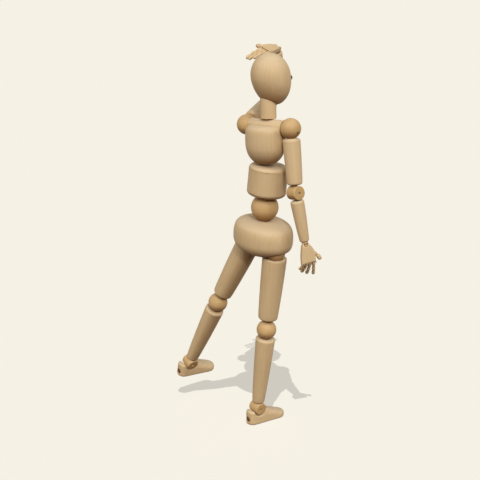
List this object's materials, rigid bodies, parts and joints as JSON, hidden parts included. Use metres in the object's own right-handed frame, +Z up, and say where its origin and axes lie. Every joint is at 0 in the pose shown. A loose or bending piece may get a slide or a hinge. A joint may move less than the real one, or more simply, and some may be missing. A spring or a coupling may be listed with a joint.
{
  "type": "jointed wooden artist mannequin",
  "caption": "Jointed wooden figure for drawing practice, balanced on one foot with a hand on its head; turned limbs, ball joints and hinged fingers hold any pose",
  "frame": {"origin": "centre of the standing (right) foot's sole, on the floor", "axes": "+Z up; the standing foot points along -Y; the figure's left is +X"},
  "size_m": [0.1781, 0.0933, 0.4002],
  "materials": {
    "pale_wood": "satin",
    "ball_wood": "satin",
    "plug_wood": "satin",
    "link_steel": "satin",
    "eye_black": "gloss"
  },
  "bodies": {
    "pelvis": {"pelvis": "pale_wood"},
    "waist_ball": {"waist_ball": "ball_wood"},
    "waist_link": {"waist_link": "link_steel"},
    "abdomen": {"abdomen": "pale_wood"},
    "spine_link": {"spine_link": "link_steel"},
    "chest": {"chest": "pale_wood", "shoulder_bar": "pale_wood"},
    "neck": {"neck": "pale_wood"},
    "head_link": {"head_link": "link_steel"},
    "head": {"head": "pale_wood", "eyes": "eye_black"},
    "right_shoulder_ball": {"right_shoulder_ball": "ball_wood"},
    "right_shoulder_link": {"right_shoulder_link": "link_steel"},
    "right_upper_arm": {"right_upper_arm": "pale_wood", "right_elbow_barrel": "ball_wood"},
    "right_forearm": {"right_forearm": "pale_wood", "right_elbow_link": "link_steel"},
    "right_wrist": {"right_wrist_peg": "ball_wood"},
    "right_hand": {"right_palm": "pale_wood", "right_hand_pins": "link_steel"},
    "right_thumb": {"right_thumb": "pale_wood"},
    "right_index_finger": {"right_index_finger": "pale_wood"},
    "right_middle_finger": {"right_middle_finger": "pale_wood"},
    "right_ring_finger": {"right_ring_finger": "pale_wood"},
    "right_little_finger": {"right_little_finger": "pale_wood"},
    "right_hip_ball": {"right_hip_ball": "ball_wood"},
    "right_hip_link": {"right_hip_link": "link_steel"},
    "right_thigh": {"right_thigh": "pale_wood"},
    "right_knee_ball": {"right_knee_ball": "ball_wood"},
    "right_knee_link": {"right_knee_link": "link_steel"},
    "right_shin": {"right_shin": "pale_wood", "right_ankle_barrel": "ball_wood"},
    "right_ankle_link": {"right_ankle_link": "link_steel"},
    "right_foot": {"right_foot": "pale_wood", "right_heel_plug": "plug_wood"},
    "left_shoulder_ball": {"left_shoulder_ball": "ball_wood"},
    "left_shoulder_link": {"left_shoulder_link": "link_steel"},
    "left_upper_arm": {"left_upper_arm": "pale_wood", "left_elbow_barrel": "ball_wood"},
    "left_forearm": {"left_forearm": "pale_wood", "left_elbow_link": "link_steel"},
    "left_wrist": {"left_wrist_peg": "ball_wood"},
    "left_hand": {"left_palm": "pale_wood", "left_hand_pins": "link_steel"},
    "left_thumb": {"left_thumb": "pale_wood"},
    "left_index_finger": {"left_index_finger": "pale_wood"},
    "left_middle_finger": {"left_middle_finger": "pale_wood"},
    "left_ring_finger": {"left_ring_finger": "pale_wood"},
    "left_little_finger": {"left_little_finger": "pale_wood"},
    "left_hip_ball": {"left_hip_ball": "ball_wood"},
    "left_hip_link": {"left_hip_link": "link_steel"},
    "left_thigh": {"left_thigh": "pale_wood"},
    "left_knee_ball": {"left_knee_ball": "ball_wood"},
    "left_knee_link": {"left_knee_link": "link_steel"},
    "left_shin": {"left_shin": "pale_wood", "left_ankle_barrel": "ball_wood"},
    "left_ankle_link": {"left_ankle_link": "link_steel"},
    "left_foot": {"left_foot": "pale_wood", "left_heel_plug": "plug_wood"}
  },
  "joints": [
    {"name": "waist_turn", "type": "hinge", "parent": "pelvis", "child": "waist_ball", "pos_m": [-0.01149, 0.01129, 0.24115], "axis": [-0.1055, 0.0217, 0.9942], "range_deg": [-30, 30]},
    {"name": "waist_bend", "type": "hinge", "parent": "waist_ball", "child": "waist_link", "pos_m": [-0.01149, 0.01129, 0.24115], "axis": [0.9766, 0.1907, 0.0995], "range_deg": [-14, 8]},
    {"name": "abdomen_turn", "type": "hinge", "parent": "waist_link", "child": "abdomen", "pos_m": [-0.01149, 0.01129, 0.24115], "axis": [-0.0932, -0.0417, 0.9948], "range_deg": [-30, 30]},
    {"name": "chest_bend", "type": "hinge", "parent": "abdomen", "child": "spine_link", "pos_m": [-0.01523, 0.00962, 0.28114], "axis": [-0.127, 0.9915, 0.0297], "range_deg": [-6, 2]},
    {"name": "chest_turn", "type": "hinge", "parent": "spine_link", "child": "chest", "pos_m": [-0.01523, 0.00962, 0.28114], "axis": [0.0521, -0.0232, 0.9984], "range_deg": [-15, 20]},
    {"name": "neck_turn", "type": "hinge", "parent": "chest", "child": "neck", "pos_m": [-0.01261, 0.00845, 0.33136], "axis": [0.0521, -0.0232, 0.9984], "range_deg": [-40, 40]},
    {"name": "head_nod", "type": "hinge", "parent": "neck", "child": "head_link", "pos_m": [-0.01162, 0.00801, 0.35033], "axis": [0.9844, 0.1697, -0.0474], "range_deg": [-12, 12]},
    {"name": "head_turn", "type": "hinge", "parent": "head_link", "child": "head", "pos_m": [-0.01162, 0.00801, 0.35033], "axis": [0.0521, -0.0232, 0.9984], "range_deg": [-40, 40]},
    {"name": "right_shoulder_swing", "type": "hinge", "parent": "chest", "child": "right_shoulder_ball", "pos_m": [-0.04137, 0.00374, 0.32494], "axis": [0.9844, 0.1697, -0.0474], "range_deg": [-70, 12]},
    {"name": "right_shoulder_raise", "type": "hinge", "parent": "right_shoulder_ball", "child": "right_shoulder_link", "pos_m": [-0.04137, 0.00374, 0.32494], "axis": [-0.1686, 0.9853, 0.0265], "range_deg": [-1.5, 45]},
    {"name": "right_arm_twist", "type": "hinge", "parent": "right_shoulder_link", "child": "right_upper_arm", "pos_m": [-0.04137, 0.00374, 0.32494], "axis": [0.1419, -0.0023, 0.9899], "range_deg": [-40, 40]},
    {"name": "right_elbow_bend", "type": "hinge", "parent": "right_upper_arm", "child": "right_forearm", "pos_m": [-0.05031, 0.00389, 0.26258], "axis": [0.9898, -0.0135, -0.1419], "range_deg": [-80, 7]},
    {"name": "right_wrist_turn", "type": "hinge", "parent": "right_forearm", "child": "right_wrist", "pos_m": [-0.05807, -0.00339, 0.20912], "axis": [0.1425, 0.1334, 0.9808], "range_deg": [-60, 60]},
    {"name": "right_wrist_bend", "type": "hinge", "parent": "right_wrist", "child": "right_hand", "pos_m": [-0.05807, -0.00339, 0.20912], "axis": [0.3332, 0.9266, -0.1745], "range_deg": [-50, 50]},
    {"name": "right_hip_turn", "type": "hinge", "parent": "pelvis", "child": "right_hip_ball", "pos_m": [-0.02586, 0.00866, 0.19724], "axis": [-0.1055, 0.0217, 0.9942], "range_deg": [-20, 20]},
    {"name": "right_hip_swing", "type": "hinge", "parent": "right_hip_ball", "child": "right_hip_link", "pos_m": [-0.02586, 0.00866, 0.19724], "axis": [0.7875, -0.6087, 0.0968], "range_deg": [-20, 14]},
    {"name": "right_thigh_twist", "type": "hinge", "parent": "right_hip_link", "child": "right_thigh", "pos_m": [-0.02586, 0.00866, 0.19724], "axis": [-0.134, -0.0157, 0.9909], "range_deg": [-25, 25]},
    {"name": "right_knee_turn", "type": "hinge", "parent": "right_thigh", "child": "right_knee_ball", "pos_m": [-0.01407, 0.01004, 0.11004], "axis": [-0.134, -0.0157, 0.9909], "range_deg": [-150, 150]},
    {"name": "right_knee_bend", "type": "hinge", "parent": "right_knee_ball", "child": "right_knee_link", "pos_m": [-0.01407, 0.01004, 0.11004], "axis": [0.991, 0, 0.134], "range_deg": [-45, 7]},
    {"name": "right_shin_twist", "type": "hinge", "parent": "right_knee_link", "child": "right_shin", "pos_m": [-0.01407, 0.01004, 0.11004], "axis": [-0.134, -0.0157, 0.9909], "range_deg": [-30, 30]},
    {"name": "right_ankle_bend", "type": "hinge", "parent": "right_shin", "child": "right_ankle_link", "pos_m": [-0.00161, 0.0115, 0.01789], "axis": [0.991, 0, 0.134], "range_deg": [-20, 20]},
    {"name": "right_ankle_tilt", "type": "hinge", "parent": "right_ankle_link", "child": "right_foot", "pos_m": [0, 0.0115, 0.006], "axis": [0, 1, 0], "range_deg": [-22, 12]},
    {"name": "left_shoulder_swing", "type": "hinge", "parent": "chest", "child": "left_shoulder_ball", "pos_m": [0.01533, 0.01352, 0.32221], "axis": [0.9844, 0.1697, -0.0474], "range_deg": [-8, 40]},
    {"name": "left_shoulder_raise", "type": "hinge", "parent": "left_shoulder_ball", "child": "left_shoulder_link", "pos_m": [0.01533, 0.01352, 0.32221], "axis": [-0.0245, 0.3985, 0.9168], "range_deg": [0, 30]},
    {"name": "left_arm_twist", "type": "hinge", "parent": "left_shoulder_link", "child": "left_upper_arm", "pos_m": [0.01533, 0.01352, 0.32221], "axis": [-0.2898, 0.8749, -0.388], "range_deg": [0, 25]},
    {"name": "left_elbow_bend", "type": "hinge", "parent": "left_upper_arm", "child": "left_forearm", "pos_m": [0.03359, -0.0416, 0.34665], "axis": [0.9018, 0.3854, 0.1955], "range_deg": [0, 60]},
    {"name": "left_wrist_turn", "type": "hinge", "parent": "left_forearm", "child": "left_wrist", "pos_m": [0.0162, -0.02587, 0.39585], "axis": [0.319, -0.2887, -0.9027], "range_deg": [0, 40]},
    {"name": "left_wrist_bend", "type": "hinge", "parent": "left_wrist", "child": "left_hand", "pos_m": [0.0162, -0.02587, 0.39585], "axis": [0.9475, 0.1206, 0.2963], "range_deg": [-2, 70]},
    {"name": "left_hip_turn", "type": "hinge", "parent": "pelvis", "child": "left_hip_ball", "pos_m": [0.01178, 0.0121, 0.20116], "axis": [-0.1055, 0.0217, 0.9942], "range_deg": [-12, 12]},
    {"name": "left_hip_swing", "type": "hinge", "parent": "left_hip_ball", "child": "left_hip_link", "pos_m": [0.01178, 0.0121, 0.20116], "axis": [0.3719, -0.9263, 0.0597], "range_deg": [-26, 3]},
    {"name": "left_thigh_twist", "type": "hinge", "parent": "left_hip_link", "child": "left_thigh", "pos_m": [0.01178, 0.0121, 0.20116], "axis": [-0.4673, -0.1313, 0.8743], "range_deg": [-25, 25]},
    {"name": "left_knee_turn", "type": "hinge", "parent": "left_thigh", "child": "left_knee_ball", "pos_m": [0.05291, 0.02365, 0.12422], "axis": [-0.4673, -0.1313, 0.8743], "range_deg": [-150, 150]},
    {"name": "left_knee_bend", "type": "hinge", "parent": "left_knee_ball", "child": "left_knee_link", "pos_m": [0.05291, 0.02365, 0.12422], "axis": [0.874, 0.0806, 0.4792], "range_deg": [-40, 10]},
    {"name": "left_shin_twist", "type": "hinge", "parent": "left_knee_link", "child": "left_shin", "pos_m": [0.05291, 0.02365, 0.12422], "axis": [-0.474, -0.0759, 0.8772], "range_deg": [-30, 30]},
    {"name": "left_ankle_bend", "type": "hinge", "parent": "left_shin", "child": "left_ankle_link", "pos_m": [0.09699, 0.03071, 0.04263], "axis": [0.8804, -0.022, 0.4738], "range_deg": [-20, 20]},
    {"name": "left_ankle_tilt", "type": "hinge", "parent": "left_ankle_link", "child": "left_foot", "pos_m": [0.10268, 0.03079, 0.03207], "axis": [0.0164, 0.9997, 0.0159], "range_deg": [-30, 3]},
    {"name": "right_thumb_bend", "type": "hinge", "parent": "right_hand", "child": "right_thumb", "pos_m": [-0.06087, -0.0092, 0.20268], "axis": [-0.932, 0.3516, 0.0875], "range_deg": [-6, 10]},
    {"name": "right_index_knuckle", "type": "hinge", "parent": "right_hand", "child": "right_index_finger", "pos_m": [-0.06239, -0.01065, 0.19239], "axis": [0.3332, 0.9266, -0.1745], "range_deg": [-32, 34]},
    {"name": "right_middle_knuckle", "type": "hinge", "parent": "right_hand", "child": "right_middle_finger", "pos_m": [-0.06122, -0.00741, 0.19178], "axis": [0.3332, 0.9266, -0.1745], "range_deg": [-22, 44]},
    {"name": "right_ring_knuckle", "type": "hinge", "parent": "right_hand", "child": "right_ring_finger", "pos_m": [-0.06005, -0.00417, 0.19117], "axis": [0.3332, 0.9266, -0.1745], "range_deg": [-16, 50]},
    {"name": "right_little_knuckle", "type": "hinge", "parent": "right_hand", "child": "right_little_finger", "pos_m": [-0.05889, -0.00092, 0.19055], "axis": [0.3332, 0.9266, -0.1745], "range_deg": [-14, 52]},
    {"name": "left_thumb_bend", "type": "hinge", "parent": "left_hand", "child": "left_thumb", "pos_m": [0.02038, -0.01781, 0.39675], "axis": [-0.3041, 0.0521, 0.9512], "range_deg": [-10, 6]},
    {"name": "left_index_knuckle", "type": "hinge", "parent": "left_hand", "child": "left_index_finger", "pos_m": [0.01939, -0.00739, 0.39586], "axis": [0.9475, 0.1206, 0.2963], "range_deg": [-46, 20]},
    {"name": "left_middle_knuckle", "type": "hinge", "parent": "left_hand", "child": "left_middle_finger", "pos_m": [0.01607, -0.00781, 0.39482], "axis": [0.9475, 0.1206, 0.2963], "range_deg": [-53, 13]},
    {"name": "left_ring_knuckle", "type": "hinge", "parent": "left_hand", "child": "left_ring_finger", "pos_m": [0.01276, -0.00824, 0.39378], "axis": [0.9475, 0.1206, 0.2963], "range_deg": [-60, 6]},
    {"name": "left_little_knuckle", "type": "hinge", "parent": "left_hand", "child": "left_little_finger", "pos_m": [0.00944, -0.00866, 0.39275], "axis": [0.9475, 0.1206, 0.2963], "range_deg": [-66, 0]}
  ]
}
